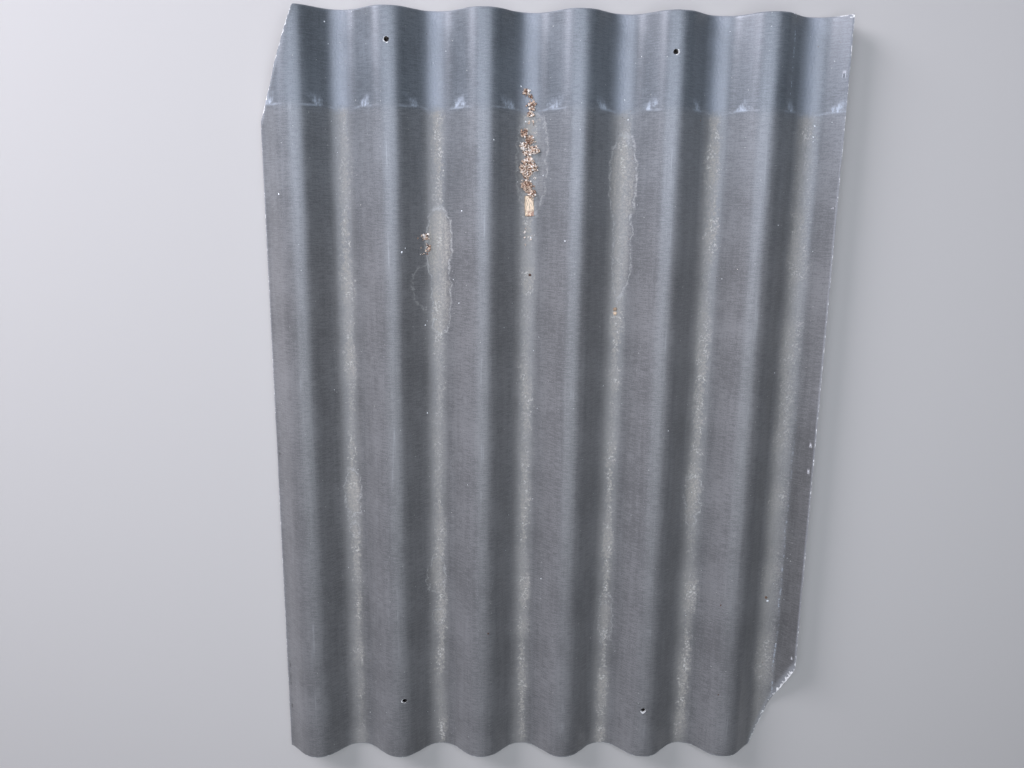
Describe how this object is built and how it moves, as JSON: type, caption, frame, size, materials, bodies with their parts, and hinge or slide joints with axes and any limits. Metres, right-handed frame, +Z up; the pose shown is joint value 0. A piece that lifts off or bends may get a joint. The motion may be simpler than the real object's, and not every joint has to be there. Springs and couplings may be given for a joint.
{
  "type": "corrugated fibre-cement roofing sheet",
  "caption": "Weathered dark-coated corrugated roofing sheet with mitred corners and fixing holes through its crests near both ends.",
  "frame": {"origin": "centre of the bounding box at the level of the valley undersides, which rest on the ground", "axes": "+X across the waves, +Y along them towards the end that is uppermost on the roof, +Z up out of the weather face"},
  "size_m": [1.097, 1.525, 0.0575],
  "materials": {
    "coated_fibre_cement": "satin"
  },
  "bodies": {
    "root": {"corrugated_sheet": "coated_fibre_cement"}
  },
  "joints": []
}
